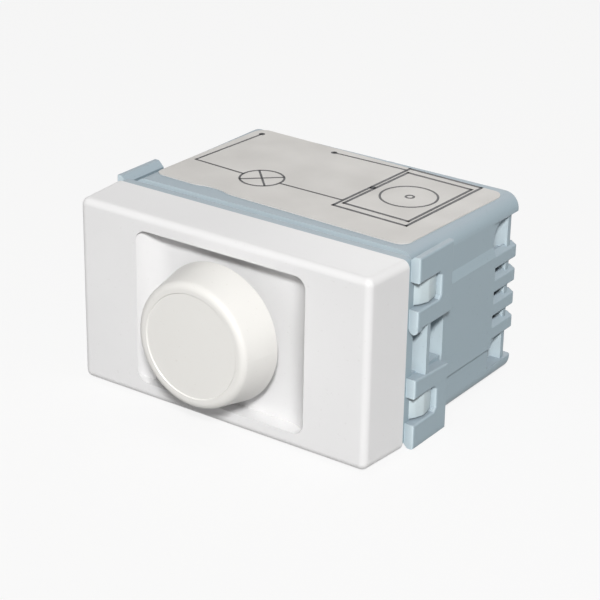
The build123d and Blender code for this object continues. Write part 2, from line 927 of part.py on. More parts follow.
def pot_track():
    # Wafer with a foot for its lugs, and the horseshoe track on its rear face.
    foot = Pos(0, pot_foot / 2) * Rectangle(wafer_foot_width, -pot_foot)
    hole = Circle(shaft_radius + wafer_hole_clearance)
    wafer = inward(Circle(pot_radius) + foot - hole, wafer_front, can_front)
    gap = Pos(0, -track_outer) * Rectangle(track_gap, 2 * track_outer)
    horseshoe = Circle(track_outer) - Circle(track_inner) - gap
    return wafer + inward(horseshoe, can_front - track_thickness, can_front + track_thickness)


def pot_terminals():
    lugs = Part()
    for lug in pot_lugs():
        lugs += flat_lug(lug, wafer_front + sunk, board_rear + lead_stub)
    return lugs


def sector(inner, outer, half_angle, middle):
    reach = outer * 2
    spread = reach * math.tan(math.radians(half_angle))
    wedge = Rot(0, 0, middle) * polygon((0, 0), (reach, -spread), (reach, spread))
    return (Circle(outer) - Circle(inner)) & wedge


def pot_can():
    can = inward(Circle(pot_radius) - Circle(pot_radius - can_wall), can_front, can_rear)
    can += rod(0, 0, pot_radius, can_rear - can_wall, can_rear)
    stop = sector(rotor_radius + stop_clearance, pot_radius - can_wall + sunk, stop_half_angle, stop_angle)
    return can + inward(stop, rotor_front, can_rear - can_wall / 2)


def pot_rotor():
    # The lug stands at one end of its travel, clear of the stop.
    free = (full_turn - knob_turn) / 2
    disc = Circle(rotor_radius) - Circle(shaft_radius + rotor_grip)
    lug = sector(rotor_radius - sunk, rotor_radius + lug_reach, lug_half_angle, stop_angle - free)
    return inward(disc + lug, rotor_front, rotor_front + rotor_thickness)


def wiper_contact():
    front = can_front + track_thickness + wiper_clearance
    middle = (track_inner + track_outer) / 2
    finger = Pos(middle, 0) * RectangleRounded(wiper_width, wiper_length, wiper_width / 3)
    return inward(Rot(0, 0, wiper_angle) * finger, front, rotor_front)


def switch_case():
    case = rod(0, 0, pot_radius - switch_set_in, can_rear, switch_rear)
    return chamfer(case.faces().sort_by(Axis.Y)[-1].edges(), switch_edge)


def switch_pins():
    pins = Part()
    for lug in switch_lugs():
        pins += flat_lug(lug, switch_rear, board_rear + lead_stub)
    return pins


def triac():
    body = block(triac_left, triac_right, triac_front, heat_sink_front, heat_sink_low, heat_sink_high)
    body = chamfer(body.faces().sort_by(Axis.Y)[0].edges(), triac_edge)
    hole_radius = sink_screw_radius + sink_screw_clearance
    rear = heat_sink_front + through
    return body - rod(sink_screw_x, triac_centre, hole_radius, triac_front - through, rear)


def triac_leads():
    leads = Part()
    depth = (triac_front + heat_sink_front) / 2
    for x, z in triac_pins():
        leads += bent_lead((triac_left, depth, z), (x, depth, z), (x, board_front - lead_stub, z))
    return leads


def heat_sink():
    # Flat bar behind the triac, folded forward along the right wall in front of the vents.
    fold = heat_sink_right - heat_sink_thickness
    fold_front = seat_rear + sink_fold_gap
    plan = polygon(
        (heat_sink_left, heat_sink_front),
        (fold, heat_sink_front),
        (fold, fold_front),
        (heat_sink_right, fold_front),
        (heat_sink_right, heat_sink_rear),
        (heat_sink_left, heat_sink_rear),
    )
    bar = upwards(plan, heat_sink_low, heat_sink_high)
    rear = heat_sink_rear + through
    return bar - rod(sink_screw_x, triac_centre, sink_screw_radius, heat_sink_front - through, rear)


def heat_sink_screw():
    screw = rod(sink_screw_x, triac_centre, sink_screw_radius, triac_front, heat_sink_rear)
    head_front = triac_front - sink_screw_head_height
    head = rod(sink_screw_x, triac_centre, sink_screw_head, head_front, triac_front)
    half = sink_slot_width / 2
    slot = block(
        sink_screw_x - sink_screw_head - through,
        sink_screw_x + sink_screw_head + through,
        head_front - through,
        head_front + sink_slot_width,
        triac_centre - half,
        triac_centre + half,
    )
    return screw + (head - slot)


def film_capacitor(x, width, rear, low, high):
    case = block(x - width / 2, x + width / 2, seat_rear, rear, low, high)
    return fillet(case.faces().sort_by(Axis.Y)[-1].edges(), capacitor_edge)


def straight_leads(pins):
    leads = Part()
    for x, z in pins:
        leads += rod(x, z, lead_radius, board_front - lead_stub, seat_rear)
    return leads


def choke_core():
    waist = choke_radius - choke_groove
    drum = turned(
        [
            (0, seat_rear),
            (choke_radius, seat_rear),
            (choke_radius, seat_rear + choke_flange),
            (waist, seat_rear + choke_flange),
            (waist, choke_rear - choke_flange),
            (choke_radius, choke_rear - choke_flange),
            (choke_radius, choke_rear),
            (0, choke_rear),
        ]
    )
    return Pos(choke_x, 0, choke_level) * drum


def choke_winding():
    # Turns of wire on the waist of the drum, and its two ends through the board.
    start = seat_rear + choke_flange + winding_clearance
    end = choke_rear - choke_flange - winding_clearance
    waist = choke_radius - choke_groove + winding_clearance
    crown = choke_radius - winding_set_in
    valley = crown - winding_relief
    step = (end - start) / winding_turns
    points = [(waist, start)]
    for n in range(winding_turns):
        points.append((valley, start + n * step))
        points.append((crown, start + (n + 0.5) * step))
    points.append((valley, end))
    points.append((waist, end))
    coil = Pos(choke_x, 0, choke_level) * turned(points)
    return coil + straight_leads(choke_pins())


def fuse_tube():
    length = fuse_length - 2 * (fuse_cap_length - fuse_tube_grip)
    return Pos(fuse_x, fuse_depth, fuse_level) * Cylinder(fuse_radius, length)


def fuse_caps():
    caps = Part()
    for level in fuse_levels():
        caps += Pos(fuse_x, fuse_depth, level) * Cylinder(fuse_cap_radius, fuse_cap_length)
    return caps - fuse_tube()


def fuse_clips():
    clips = Part()
    ring = Circle(fuse_outer) - Circle(fuse_cap_radius)
    mouth = Pos(0, -fuse_outer) * Rectangle(fuse_clip_mouth, 2 * fuse_outer)
    band = Pos(fuse_x, fuse_depth) * (ring - mouth)
    root = fuse_depth + fuse_cap_radius + fuse_clip_thickness / 2
    for lug in fuse_lugs():
        level = lug[1]
        clips += upwards(band, level - fuse_clip_width / 2, level + fuse_clip_width / 2)
        clips += flat_lug(lug, root, board_rear + lead_stub)
    return clips


def axial_body(x, depth, level, radius, length):
    body = Pos(x, depth, level) * Cylinder(radius, length)
    return chamfer(body.edges().filter_by(GeomType.CIRCLE), axial_edge)


def resistors():
    bodies = Part()
    for x in resistor_places:
        bodies += axial_body(x, resistor_depth, resistor_level, resistor_radius, resistor_length)
    return bodies


def axial_leads():
    leads = Part()
    for x, depth, level, length in axial_parts():
        for way in (-1, 1):
            end = level + way * length / 2
            bend = end + way * axial_overhang
            leads += bent_lead((x, depth, end), (x, depth, bend), (x, board_rear + lead_stub, bend))
    return leads


def terminal_block():
    half = terminal_block_width / 2
    body = block(-half, half, seat_rear, block_back, terminal_block_bottom, terminal_block_top)
    body = chamfer(body.edges().filter_by(Axis.Y), terminal_block_edge)
    wide = cage_width / 2 + terminal_room
    low = cage_bottom - terminal_room
    high = cage_top + terminal_room
    rear = cage_rear + terminal_room
    for place, lug in zip(terminal_places, cage_lugs()):
        body -= block(place - wide, place + wide, cage_front - terminal_room, rear, low, high)
        body -= rod(place, wire_level, wire_hole_radius + wire_way_clearance, cage_rear, block_back + through)
        channel = Pos(place, terminal_middle) * Circle(terminal_head_radius + head_clearance)
        body -= upwards(channel, terminal_block_bottom - through, cage_bottom)
        x, z, lug_wide, lug_high = lug
        slot = (x, z, lug_wide + terminal_room, lug_high + terminal_room)
        body -= flat_lug(slot, seat_rear - through, cage_front)
    return body


def terminal_cages():
    cages = Part()
    middle = (cage_inner_bottom + cage_inner_top) / 2
    bay = Rectangle(cage_width - 2 * cage_wall, cage_inner_top - cage_inner_bottom)
    for place, lug in zip(terminal_places, cage_lugs()):
        ring = Pos(place, (cage_bottom + cage_top) / 2) * Rectangle(cage_width, cage_height)
        cage = inward(ring - Pos(place, middle) * bay, cage_front, cage_rear)
        hole = Pos(place, terminal_middle) * Circle(terminal_screw_radius + terminal_screw_clearance)
        cage -= upwards(hole, cage_bottom - through, cage_inner_bottom + sunk)
        cages += cage + flat_lug(lug, board_front - lead_stub, cage_front + sunk)
    return cages


def terminal_plate(place):
    half = cage_width / 2 - cage_wall - plate_clearance
    front = cage_front + plate_end_gap
    rear = cage_rear - plate_end_gap
    plate = block(place - half, place + half, front, rear, plate_bottom, plate_bottom + plate_thick)
    ends = plate.faces().sort_by(Axis.Z)[-1].edges().filter_by(Axis.X)
    return chamfer(ends, plate_edge)


def terminal_screw(place):
    top = cage_inner_bottom
    neck = top - terminal_shank
    base = neck - terminal_head_height
    profile = polygon(
        (0, base),
        (terminal_head_radius, base),
        (terminal_head_radius, neck),
        (terminal_screw_radius, neck),
        (terminal_screw_radius, top - plate_edge),
        (terminal_screw_radius - plate_edge, top),
        (0, top),
    )
    screw = revolve(Plane.XZ * profile, Axis.Z)
    wide = terminal_head_radius + through
    half = terminal_slot_width / 2
    slot = block(-wide, wide, -half, half, base - through, base + terminal_slot_depth)
    return Pos(place, terminal_middle, 0) * (screw - slot)


def case_screws():
    screws = Part()
    head_rear = screw_seat + case_screw_head_height
    cross = Rectangle(cross_length, cross_width) + Rectangle(cross_width, cross_length)
    for x, z in case_screw_places:
        head = rod(x, z, case_screw_head, screw_seat, head_rear)
        head -= inward(Pos(x, z) * cross, head_rear - cross_depth, head_rear + through)
        screws += rod(x, z, case_screw_radius, case_screw_tip, screw_seat) + head
    return screws


def all_parts():
    left, right = terminal_places
    return {
        "front_cover": front_cover(),
        "knob": knob(),
        "clip_frame": clip_frame(),
        "rear_housing": rear_housing(),
        "wiring_label": wiring_label(),
        "circuit_board": circuit_board(),
        "pot_base": pot_base(),
        "pot_bushing": pot_bushing(),
        "pot_nut": pot_nut(),
        "lock_washer": lock_washer(),
        "pot_shaft": pot_shaft(),
        "shaft_clip": shaft_clip(),
        "pot_track": pot_track(),
        "pot_terminals": pot_terminals(),
        "pot_can": pot_can(),
        "pot_rotor": pot_rotor(),
        "wiper_contact": wiper_contact(),
        "switch_case": switch_case(),
        "switch_pins": switch_pins(),
        "triac": triac(),
        "triac_leads": triac_leads(),
        "heat_sink": heat_sink(),
        "heat_sink_screw": heat_sink_screw(),
        "suppression_capacitor": film_capacitor(
            capacitor_x, capacitor_width, capacitor_rear, capacitor_low, capacitor_high
        ),
        "timing_capacitor": film_capacitor(
            timing_x, timing_width, seat_rear + timing_depth, timing_low, timing_low + timing_height
        ),
        "capacitor_leads": straight_leads(capacitor_pins()),
        "choke_core": choke_core(),
        "choke_winding": choke_winding(),
        "fuse_tube": fuse_tube(),
        "fuse_caps": fuse_caps(),
        "fuse_clips": fuse_clips(),
        "resistors": resistors(),
        "diac": axial_body(resistor_first, diac_depth, diac_level, diac_radius, diac_length),
        "axial_leads": axial_leads(),
        "terminal_block": terminal_block(),
        "terminal_cages": terminal_cages(),
        "terminal_plate_left": terminal_plate(left),
        "terminal_plate_right": terminal_plate(right),
        "terminal_screw_left": terminal_screw(left),
        "terminal_screw_right": terminal_screw(right),
        "case_screws": case_screws(),
    }


# The row's origin is the middle of the base that the module stands on.
to_base = Pos(0, (knob_height - module_depth) / 2, block_height)

os.makedirs("parts", exist_ok=True)
for name, shape in all_parts().items():
    export_step(to_base * shape, f"parts/{name}.step")
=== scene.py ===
import bmesh
import bpy
import math
from mathutils import Matrix, Quaternion, Vector


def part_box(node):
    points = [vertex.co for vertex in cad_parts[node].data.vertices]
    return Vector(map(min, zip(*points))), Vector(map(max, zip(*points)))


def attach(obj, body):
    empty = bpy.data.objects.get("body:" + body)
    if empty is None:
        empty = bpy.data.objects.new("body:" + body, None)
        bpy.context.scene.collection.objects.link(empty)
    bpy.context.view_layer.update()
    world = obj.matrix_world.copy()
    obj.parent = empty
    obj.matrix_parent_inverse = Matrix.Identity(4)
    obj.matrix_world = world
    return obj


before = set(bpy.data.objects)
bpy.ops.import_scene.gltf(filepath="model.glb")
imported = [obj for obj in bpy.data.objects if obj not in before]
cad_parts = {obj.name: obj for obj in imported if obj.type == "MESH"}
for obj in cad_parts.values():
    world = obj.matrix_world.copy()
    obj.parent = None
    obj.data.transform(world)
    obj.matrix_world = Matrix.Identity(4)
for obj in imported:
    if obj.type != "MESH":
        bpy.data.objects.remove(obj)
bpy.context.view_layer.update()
mm = 0.001
print("frame loaded:", len(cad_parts), "nodes")

# camera: the photograph's place, aim and slight roll
view = {"place": (0.12718, -0.1802, 0.10895), "aim": (0.00680, -0.00745, 0.01563),
        "roll": 1.03, "lens": 117.5, "sensor": 36.0, "clipStart": 0.01}
# lamps: place, size, watts and tint of each soft box, all aimed at the module's middle
lampAim = (0, 0, 0.012)
lamps = {
    "key": {"place": (0.47, -0.66, 0.60), "size": 0.13, "watts": 10.3, "tint": (1.0, 0.995, 0.985)},
    "front": {"place": (-0.45, -0.75, 0.20), "size": 0.60, "watts": 0.2, "tint": (0.97, 0.985, 1.0)},
    "back": {"place": (-0.25, 0.87, 0.13), "size": 0.60, "watts": 2.6, "tint": (1.0, 1.0, 1.0)},
    "top": {"place": (-0.05, 0.10, 0.85), "size": 0.70, "watts": 0.2, "tint": (1.0, 1.0, 1.0)},
}
# room: the world's fill, the floor's grey, and how much of the floor shows as plain white
room = {"fill": 0.155, "tint": (1.0, 0.965, 0.93), "floorSide": 3.0, "floor": 0.35,
        "whiteShare": 0.62, "whiteStrength": 1.34}
white = (1, 1, 1, 1)


def newMaterial(name):
    mat = bpy.data.materials.new(name)
    mat.use_nodes = True
    mat.node_tree.nodes.clear()
    out = mat.node_tree.nodes.new("ShaderNodeOutputMaterial")
    return mat, mat.node_tree.nodes, mat.node_tree.links, out


def addNode(nodes, kind, **settings):
    node = nodes.new(kind)
    for key, value in settings.items():
        setattr(node, key, value)
    return node


def feed(links, source, socket):
    # a socket is linked, and a plain value is set
    if isinstance(source, bpy.types.NodeSocket):
        links.new(source, socket)
    else:
        socket.default_value = source


def sRgb(red, green, blue):
    # colours are written as they read in a picture, 0 to 255
    return tuple(pow((c / 255 + 0.055) / 1.055, 2.4) for c in (red, green, blue)) + (1.0,)


def objectPlace(nodes):
    return addNode(nodes, "ShaderNodeTexCoord").outputs["Object"]


def noiseAt(nodes, links, vector, scale, detail, label):
    noise = addNode(nodes, "ShaderNodeTexNoise", label=label)
    noise.inputs["Scale"].default_value = scale
    noise.inputs["Detail"].default_value = detail
    links.new(vector, noise.inputs["Vector"])
    return noise.outputs["Fac"]


def stretchAt(nodes, links, vector, scale):
    stretch = addNode(nodes, "ShaderNodeMapping")
    stretch.inputs["Scale"].default_value = scale
    links.new(vector, stretch.inputs["Vector"])
    return stretch.outputs["Vector"]


def mapTo(nodes, links, value, low, high, start=0.3, stop=0.7):
    # a noise's middle range, 0.3 to 0.7, is spread from low to high
    ranger = addNode(nodes, "ShaderNodeMapRange")
    ranger.inputs["From Min"].default_value = start
    ranger.inputs["From Max"].default_value = stop
    ranger.inputs["To Min"].default_value = low
    ranger.inputs["To Max"].default_value = high
    links.new(value, ranger.inputs["Value"])
    return ranger.outputs["Result"]


def mathAt(nodes, links, operation, *sources, clamp=False):
    node = addNode(nodes, "ShaderNodeMath", operation=operation, use_clamp=clamp)
    for source, socket in zip(sources, node.inputs):
        feed(links, source, socket)
    return node.outputs[0]


def mixColours(nodes, links, share, first, second, how="MIX"):
    mix = addNode(nodes, "ShaderNodeMix", data_type="RGBA", blend_type=how)
    feed(links, share, mix.inputs["Factor"])
    feed(links, first, mix.inputs["A"])
    feed(links, second, mix.inputs["B"])
    return mix.outputs["Result"]


def toneOf(nodes, links, colour, value):
    tone = addNode(nodes, "ShaderNodeHueSaturation")
    feed(links, colour, tone.inputs["Color"])
    links.new(value, tone.inputs["Value"])
    return tone.outputs["Color"]


def closeMaterial(nodes, links, out, sockets, relief=None):
    # the Principled shader with its values and links, and a bump of height, strength and distance
    bsdf = addNode(nodes, "ShaderNodeBsdfPrincipled")
    for key, source in sockets.items():
        feed(links, source, bsdf.inputs[key])
    if relief:
        height, strength, distance = relief
        bump = addNode(nodes, "ShaderNodeBump")
        bump.inputs["Strength"].default_value = strength
        bump.inputs["Distance"].default_value = distance
        links.new(height, bump.inputs["Height"])
        links.new(bump.outputs["Normal"], bsdf.inputs["Normal"])
    links.new(bsdf.outputs["BSDF"], out.inputs["Surface"])
    return bsdf


def newSurfaceGroup(name, inputs):
    # a node group that takes the place and its own settings, and gives colour, roughness and height
    group = bpy.data.node_groups.new(name, "ShaderNodeTree")
    group.interface.new_socket(name="Vector", in_out="INPUT", socket_type="NodeSocketVector")
    for key, kind, value in inputs:
        socket = group.interface.new_socket(name=key, in_out="INPUT", socket_type=kind)
        socket.default_value = value
    group.interface.new_socket(name="Colour", in_out="OUTPUT", socket_type="NodeSocketColor")
    for key in ("Rough", "Height"):
        group.interface.new_socket(name=key, in_out="OUTPUT", socket_type="NodeSocketFloat")
    given = addNode(group.nodes, "NodeGroupInput").outputs
    result = addNode(group.nodes, "NodeGroupOutput").inputs
    return group, group.nodes, group.links, given, result


def makeMouldGroup():
    # moulded plastic: fine spark-eroded grain, broad sink waves, a little painted shade in the corners, and
    # tiny specks of dirt
    look = {
        "grain": (9000.0, 2.0), "waves": (110.0, 3.0), "tone": (55.0, 4.0), "specks": (2600.0, 1.0),
        "waveHeight": 0.8, "toneDrift": (0.975, 1.02), "roughDrift": (-0.05, 0.06),
        "cornerReach": 0.0016, "cornerRays": 6, "cornerShade": 0.34, "cornerRange": (0.25, 0.85),
        "speckShade": 0.16, "speckRange": (0.70, 0.78),
    }
    group, nodes, links, given, result = newSurfaceGroup("mouldedSurface", [
        ("Grain", "NodeSocketFloat", 1.0), ("Colour", "NodeSocketColor", (0.8, 0.8, 0.8, 1)),
        ("DustAndShade", "NodeSocketColor", (0.5, 0.5, 0.5, 1)), ("Rough", "NodeSocketFloat", 0.4)])
    noises = [noiseAt(nodes, links, given["Vector"], *look[key], key)
              for key in ("grain", "waves", "tone", "specks")]
    grain, waves, tone, specks = noises
    # relief: the grain by its own strength, on the waves
    fine = mathAt(nodes, links, "MULTIPLY", grain, given["Grain"])
    broad = mapTo(nodes, links, waves, 0.0, look["waveHeight"])
    links.new(mathAt(nodes, links, "ADD", fine, broad), result["Height"])
    # tone drifts a few percent over the piece
    drifted = toneOf(nodes, links, given["Colour"], mapTo(nodes, links, tone, *look["toneDrift"]))
    # painted shade where the surface is closed in, as in corners, and tiny specks of dirt
    corner = addNode(nodes, "ShaderNodeAmbientOcclusion", samples=look["cornerRays"])
    corner.inputs["Distance"].default_value = look["cornerReach"]
    dustAndShade = mapTo(nodes, links, corner.outputs["AO"], look["cornerShade"], 0.0, *look["cornerRange"])
    speck = mapTo(nodes, links, specks, 0.0, look["speckShade"], *look["speckRange"])
    shadeAndSpecks = mathAt(nodes, links, "MAXIMUM", dustAndShade, speck)
    links.new(mixColours(nodes, links, shadeAndSpecks, drifted, given["DustAndShade"]), result["Colour"])
    roughDrift = mapTo(nodes, links, tone, *look["roughDrift"])
    links.new(mathAt(nodes, links, "ADD", given["Rough"], roughDrift, clamp=True), result["Rough"])
    return group


def makeMetalGroup():
    # plated or drawn metal: fine scratches one way, stains and a mottled sheen
    look = {"stretch": (1.0, 14.0, 1.0), "lines": (900.0, 4.0), "plating": (420.0, 4.0),
            "stains": (130.0, 5.0), "stainShare": 0.45, "stainRange": (0.48, 0.75),
            "roughDrift": (-0.08, 0.12)}
    group, nodes, links, given, result = newSurfaceGroup("metalSurface", [
        ("Colour", "NodeSocketColor", (0.8, 0.8, 0.8, 1)), ("Stain", "NodeSocketColor", (0.4, 0.4, 0.4, 1)),
        ("Rough", "NodeSocketFloat", 0.35)])
    drawn = stretchAt(nodes, links, given["Vector"], look["stretch"])
    links.new(noiseAt(nodes, links, drawn, *look["lines"], "drawn lines"), result["Height"])
    plating = noiseAt(nodes, links, given["Vector"], *look["plating"], "plating")
    stains = noiseAt(nodes, links, given["Vector"], *look["stains"], "stains")
    stained = mapTo(nodes, links, stains, 0.0, look["stainShare"], *look["stainRange"])
    links.new(mixColours(nodes, links, stained, given["Colour"], given["Stain"]), result["Colour"])
    roughDrift = mapTo(nodes, links, plating, *look["roughDrift"])
    links.new(mathAt(nodes, links, "ADD", given["Rough"], roughDrift, clamp=True), result["Rough"])
    return group


mouldGroup = makeMouldGroup()
metalGroup = makeMetalGroup()
reliefDepth = 0.00002


def finishFrom(name, group, settings, shader, bump):
    # a Principled shader fed by one of the surface groups
    mat, nodes, links, out = newMaterial(name)
    surface = addNode(nodes, "ShaderNodeGroup", node_tree=group)
    links.new(objectPlace(nodes), surface.inputs["Vector"])
    for key, value in settings.items():
        surface.inputs[key].default_value = value
    sockets = {"Base Color": surface.outputs["Colour"], "Roughness": surface.outputs["Rough"], **shader}
    closeMaterial(nodes, links, out, sockets, (surface.outputs["Height"], bump, reliefDepth))
    return mat


def plastic(name, colour, dustAndShade, rough, grain, bump=0.25, coat=0.0):
    settings = {"Colour": sRgb(*colour), "DustAndShade": sRgb(*dustAndShade), "Rough": rough, "Grain": grain}
    shader = {"IOR": 1.47, "Specular IOR Level": 0.5, "Coat Weight": coat, "Coat Roughness": 0.2}
    return finishFrom(name, mouldGroup, settings, shader, bump)


def metal(name, colour, stain, rough, bump=0.15):
    settings = {"Colour": sRgb(*colour), "Stain": sRgb(*stain), "Rough": rough}
    return finishFrom(name, metalGroup, settings, {"Metallic": 1.0}, bump)


# finishes: colours as they read in the picture
# each plastic's second colour serves both for its specks of dirt and for the painted shade in its corners
plastics = {
    "coverPlastic": {"colour": (232, 232, 233), "dustAndShade": (200, 198, 196), "rough": 0.36, "grain": 0.25,
                     "bump": 0.12},
    "knobPlastic": {"colour": (231, 230, 227), "dustAndShade": (196, 190, 182), "rough": 0.46, "grain": 0.25,
                    "bump": 0.12},
    "casePlastic": {"colour": (204, 219, 226), "dustAndShade": (128, 138, 146), "rough": 0.52, "grain": 1.0,
                    "bump": 0.30},
    "snapPlastic": {"colour": (199, 213, 218), "dustAndShade": (128, 138, 146), "rough": 0.40, "grain": 0.4,
                    "bump": 0.15},
    "darkPlastic": {"colour": (38, 38, 40), "dustAndShade": (90, 88, 84), "rough": 0.45, "grain": 0.8},
    "potLaminate": {"colour": (92, 58, 36), "dustAndShade": (60, 44, 34), "rough": 0.5, "grain": 0.6},
    "ferriteBody": {"colour": (50, 48, 48), "dustAndShade": (80, 78, 76), "rough": 0.62, "grain": 1.0},
    "capacitorShell": {"colour": (206, 158, 62), "dustAndShade": (150, 118, 60), "rough": 0.38, "grain": 0.4},
    "diacBody": {"colour": (150, 82, 52), "dustAndShade": (96, 60, 44), "rough": 0.22, "grain": 0.2, "coat": 0.5},
}
metals = {
    "zincPlate": {"colour": (196, 197, 194), "stain": (150, 148, 140), "rough": 0.34},
    "turnedAluminium": {"colour": (214, 215, 216), "stain": (176, 176, 174), "rough": 0.30},
    "sinkAluminium": {"colour": (218, 219, 221), "stain": (180, 180, 180), "rough": 0.38},
    "screwSteel": {"colour": (190, 190, 186), "stain": (140, 136, 126), "rough": 0.32},
    "contactBrass": {"colour": (206, 178, 112), "stain": (150, 120, 70), "rough": 0.32},
    "tinnedWire": {"colour": (206, 207, 208), "stain": (160, 160, 160), "rough": 0.36},
}
finishes = {name: plastic(name, **look) for name, look in plastics.items()}
finishes.update({name: metal(name, **look) for name, look in metals.items()})


def paintShadeByFacing(mat):
    # the fronts keep their colour; painted shade darkens the other faces by how far they turn from the
    # front, and the upright sides a little more
    look = {"range": (0.55, 0.97), "offFrontShade": (0.62, 0.63, 0.655), "side": (0.94, 0.995, 1.0)}
    nodes, links = mat.node_tree.nodes, mat.node_tree.links
    bsdf = next(node for node in nodes if node.type == "BSDF_PRINCIPLED")
    colour = bsdf.inputs["Base Color"].links[0].from_socket
    axes = addNode(nodes, "ShaderNodeSeparateXYZ")
    links.new(addNode(nodes, "ShaderNodeNewGeometry").outputs["Normal"], axes.inputs["Vector"])
    toFront = mathAt(nodes, links, "MULTIPLY", axes.outputs["Y"], -1.0)
    toSide = mathAt(nodes, links, "ABSOLUTE", axes.outputs["X"])
    # painted shade on the faces that turn away from the front
    offFrontShade = mapTo(nodes, links, toFront, 1.0, 0.0, *look["range"])
    colour = mixColours(nodes, links, offFrontShade, colour, look["offFrontShade"] + (1.0,), "MULTIPLY")
    # more painted shade on the upright sides
    side = mapTo(nodes, links, toSide, 0.0, 1.0, *look["range"])
    colour = mixColours(nodes, links, side, colour, look["side"] + (1.0,), "MULTIPLY")
    links.new(colour, bsdf.inputs["Base Color"])


def makeBoardMaterial():
    # paper laminate: brown board with faint fibres
    look = {"base": (170, 128, 74), "fibre": (138, 100, 56), "stretch": (1.0, 1.0, 9.0),
            "fibres": (700.0, 6.0), "rough": (0.4, 0.6), "bump": (0.2, 0.00003)}
    mat, nodes, links, out = newMaterial("paperBoard")
    along = stretchAt(nodes, links, objectPlace(nodes), look["stretch"])
    fibres = noiseAt(nodes, links, along, *look["fibres"], "fibres")
    share = mapTo(nodes, links, fibres, 0.0, 1.0)
    colour = mixColours(nodes, links, share, sRgb(*look["base"]), sRgb(*look["fibre"]))
    rough = mapTo(nodes, links, fibres, *look["rough"])
    closeMaterial(nodes, links, out, {"Base Color": colour, "Roughness": rough}, (fibres, *look["bump"]))
    return mat


def makeWindingMaterial():
    # enamelled copper: fine bands round the drum, which runs along the depth
    look = {"bright": (200, 112, 62), "dark": (112, 52, 28), "bandScale": 210.0, "waver": 0.6,
            "rough": (0.4, 0.3), "metallic": 0.85, "coat": 0.5, "bump": (0.5, 0.0001)}
    mat, nodes, links, out = newMaterial("copperWinding")
    wave = addNode(nodes, "ShaderNodeTexWave", bands_direction="Y")
    wave.inputs["Scale"].default_value = look["bandScale"]
    wave.inputs["Distortion"].default_value = look["waver"]
    links.new(objectPlace(nodes), wave.inputs["Vector"])
    bands = wave.outputs["Fac"]
    colour = mixColours(nodes, links, bands, sRgb(*look["dark"]), sRgb(*look["bright"]))
    rough = mapTo(nodes, links, bands, *look["rough"], 0.0, 1.0)
    sockets = {"Base Color": colour, "Roughness": rough, "Metallic": look["metallic"],
               "Coat Weight": look["coat"]}
    closeMaterial(nodes, links, out, sockets, (bands, *look["bump"]))
    return mat


def makeGlassMaterial():
    # clear tube with faint draw lines in its gloss
    look = {"tint": (0.93, 0.97, 0.96, 1), "ior": 1.5, "lines": (500.0, 2.0), "rough": (0.02, 0.08)}
    mat, nodes, links, out = newMaterial("fuseGlass")
    lines = noiseAt(nodes, links, objectPlace(nodes), *look["lines"], "draw lines")
    rough = mapTo(nodes, links, lines, *look["rough"])
    closeMaterial(nodes, links, out, {"Base Color": look["tint"], "Roughness": rough,
                                      "Transmission Weight": 1.0, "IOR": look["ior"]})
    return mat


def makeResistorMaterial():
    # tan lacquer with colour rings set out along the body's height, in millimetres from its middle
    look = {"coat": (208, 176, 128), "lacquer": (900.0, 3.0), "toneDrift": (0.94, 1.05),
            "rough": (0.27, 0.43), "middle": 16.19, "width": 0.28,
            "rings": [(-1.8, (60, 40, 24)), (-0.6, (30, 30, 30)), (0.6, (206, 120, 40)),
                      (1.9, (196, 160, 70))]}
    mat, nodes, links, out = newMaterial("resistorCoat")
    place = objectPlace(nodes)
    axes = addNode(nodes, "ShaderNodeSeparateXYZ")
    links.new(place, axes.inputs["Vector"])
    lacquer = noiseAt(nodes, links, place, *look["lacquer"], "lacquer")
    colour = toneOf(nodes, links, sRgb(*look["coat"]), mapTo(nodes, links, lacquer, *look["toneDrift"]))
    for offset, ringColour in look["rings"]:
        level = (look["middle"] + offset) * mm
        near = mathAt(nodes, links, "COMPARE", axes.outputs["Z"], level, look["width"] * mm)
        colour = mixColours(nodes, links, near, colour, sRgb(*ringColour))
    rough = mapTo(nodes, links, lacquer, *look["rough"])
    closeMaterial(nodes, links, out, {"Base Color": colour, "Roughness": rough})
    return mat


def makePaperMaterial():
    # label stock: satin paper, a little mottled, with the coating's fine tooth
    look = {"paper": (211, 209, 206), "mottle": (204, 202, 199), "tooth": (5200.0, 3.0),
            "cloud": (160.0, 4.0), "rough": (0.49, 0.61), "bump": (0.15, 0.00001)}
    mat, nodes, links, out = newMaterial("labelPaper")
    place = objectPlace(nodes)
    tooth = noiseAt(nodes, links, place, *look["tooth"], "tooth")
    cloud = noiseAt(nodes, links, place, *look["cloud"], "mottle")
    share = mapTo(nodes, links, cloud, 0.0, 1.0)
    colour = mixColours(nodes, links, share, sRgb(*look["paper"]), sRgb(*look["mottle"]))
    rough = mapTo(nodes, links, cloud, *look["rough"])
    closeMaterial(nodes, links, out, {"Base Color": colour, "Roughness": rough}, (tooth, *look["bump"]))
    return mat


def makeInkMaterial():
    # printed line: near black, thin in places
    look = {"ink": (22, 22, 25), "worn": (58, 58, 62), "thin": (1500.0, 3.0), "thinRange": (0.45, 0.75),
            "rough": 0.5}
    mat, nodes, links, out = newMaterial("printInk")
    thin = noiseAt(nodes, links, objectPlace(nodes), *look["thin"], "thin ink")
    share = mapTo(nodes, links, thin, 0.0, 1.0, *look["thinRange"])
    colour = mixColours(nodes, links, share, sRgb(*look["ink"]), sRgb(*look["worn"]))
    closeMaterial(nodes, links, out, {"Base Color": colour, "Roughness": look["rough"]})
    return mat


# painted shade on the case plastic's faces that turn from the front
paintShadeByFacing(finishes["casePlastic"])
finishes.update({
    "paperBoard": makeBoardMaterial(), "copperWinding": makeWindingMaterial(),
    "fuseGlass": makeGlassMaterial(), "resistorCoat": makeResistorMaterial(),
    "labelPaper": makePaperMaterial(), "printInk": makeInkMaterial(),
})

